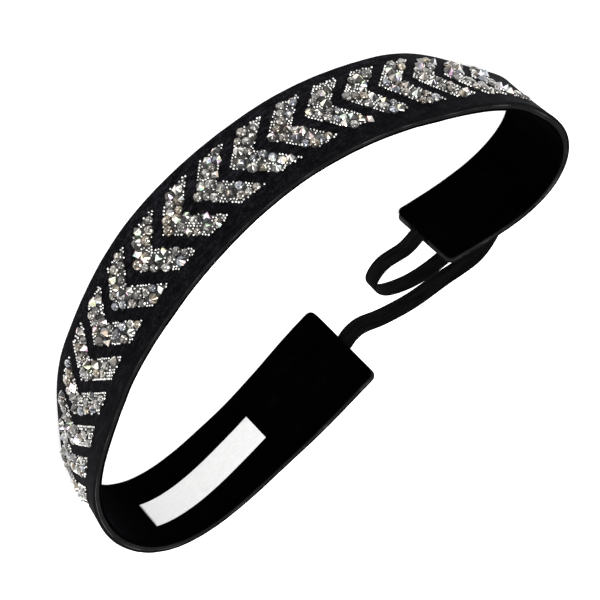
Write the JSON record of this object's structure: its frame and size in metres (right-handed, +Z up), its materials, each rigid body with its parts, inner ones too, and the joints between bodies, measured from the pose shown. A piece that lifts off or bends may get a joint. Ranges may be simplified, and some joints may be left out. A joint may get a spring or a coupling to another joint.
{
  "type": "sports headband",
  "caption": "Layered black fabric sports headband with raised smoky crystal chevrons round the front and a narrow folded elastic joining its ends at the back.",
  "frame": {"origin": "middle of the object's box seen from above, at the level of the band's lower edge, which it stands on", "axes": "+Z up along the width of the band, -Y towards the front with the chevrons, +Y towards the gap and the elastic at the back, +X the way the chevrons point"},
  "size_m": [0.168, 0.14, 0.0254],
  "materials": {
    "suede_face": "matte, short nap",
    "interlining": "matte",
    "velvet_lining": "velvet",
    "ribbed_elastic": "woven rib",
    "label_satin": "satin",
    "black_thread": "twisted thread",
    "smoky_crystal": "faceted, foiled back"
  },
  "bodies": {
    "front": {"face_front": "suede_face", "core_front": "interlining", "lining_front": "velvet_lining", "chevron_04": "smoky_crystal", "chevron_05": "smoky_crystal", "chevron_06": "smoky_crystal", "chevron_07": "smoky_crystal", "chevron_08": "smoky_crystal", "chevron_09": "smoky_crystal", "chevron_10": "smoky_crystal", "chevron_11": "smoky_crystal", "chevron_12": "smoky_crystal", "chevron_13": "smoky_crystal"},
    "right_side": {"face_right": "suede_face", "core_right": "interlining", "lining_right": "velvet_lining", "care_label": "label_satin", "elastic_tab_right": "ribbed_elastic", "end_stitch_right": "black_thread", "chevron_01": "smoky_crystal", "chevron_02": "smoky_crystal", "chevron_03": "smoky_crystal"},
    "left_side": {"face_left": "suede_face", "core_left": "interlining", "lining_left": "velvet_lining", "elastic_tab_left": "ribbed_elastic", "end_stitch_left": "black_thread", "chevron_14": "smoky_crystal", "chevron_15": "smoky_crystal", "chevron_16": "smoky_crystal", "chevron_17": "smoky_crystal", "chevron_18": "smoky_crystal"},
    "elastic_lead": {"elastic_run": "ribbed_elastic"},
    "elastic_loop": {"elastic_back_loop": "ribbed_elastic", "elastic_front_loop": "ribbed_elastic"}
  },
  "joints": [
    {"name": "right_side_flex", "type": "hinge", "parent": "front", "child": "right_side", "pos_m": [0.05294, -0.04782, 0], "axis": [0, 0, -1], "range_deg": [0, 18], "stiffness_Nm_per_rad": 0.04, "deforming": ["chevron_04"]},
    {"name": "left_side_flex", "type": "hinge", "parent": "front", "child": "left_side", "pos_m": [-0.05318, -0.04633, 0], "axis": [0, 0, 1], "range_deg": [0, 18], "deforming": ["chevron_13"]},
    {"name": "elastic_turn", "type": "hinge", "parent": "right_side", "child": "elastic_lead", "pos_m": [0.00845, 0.04311, 0], "axis": [0, 0, 1], "range_deg": [0, 17.1]},
    {"name": "elastic_stretch", "type": "slide", "parent": "elastic_lead", "child": "elastic_loop", "axis": [-0.9904, -0.138, 0], "range_m": [0, 0.058], "deforming": ["elastic_run", "elastic_back_loop", "elastic_front_loop"]}
  ],
  "couplings": [
    {"joint": "left_side_flex", "follows": "right_side_flex", "ratio": 1},
    {"joint": "elastic_turn", "follows": "right_side_flex", "ratio": 0.9457},
    {"joint": "elastic_stretch", "follows": "right_side_flex", "m_per_rad": 0.18369}
  ]
}
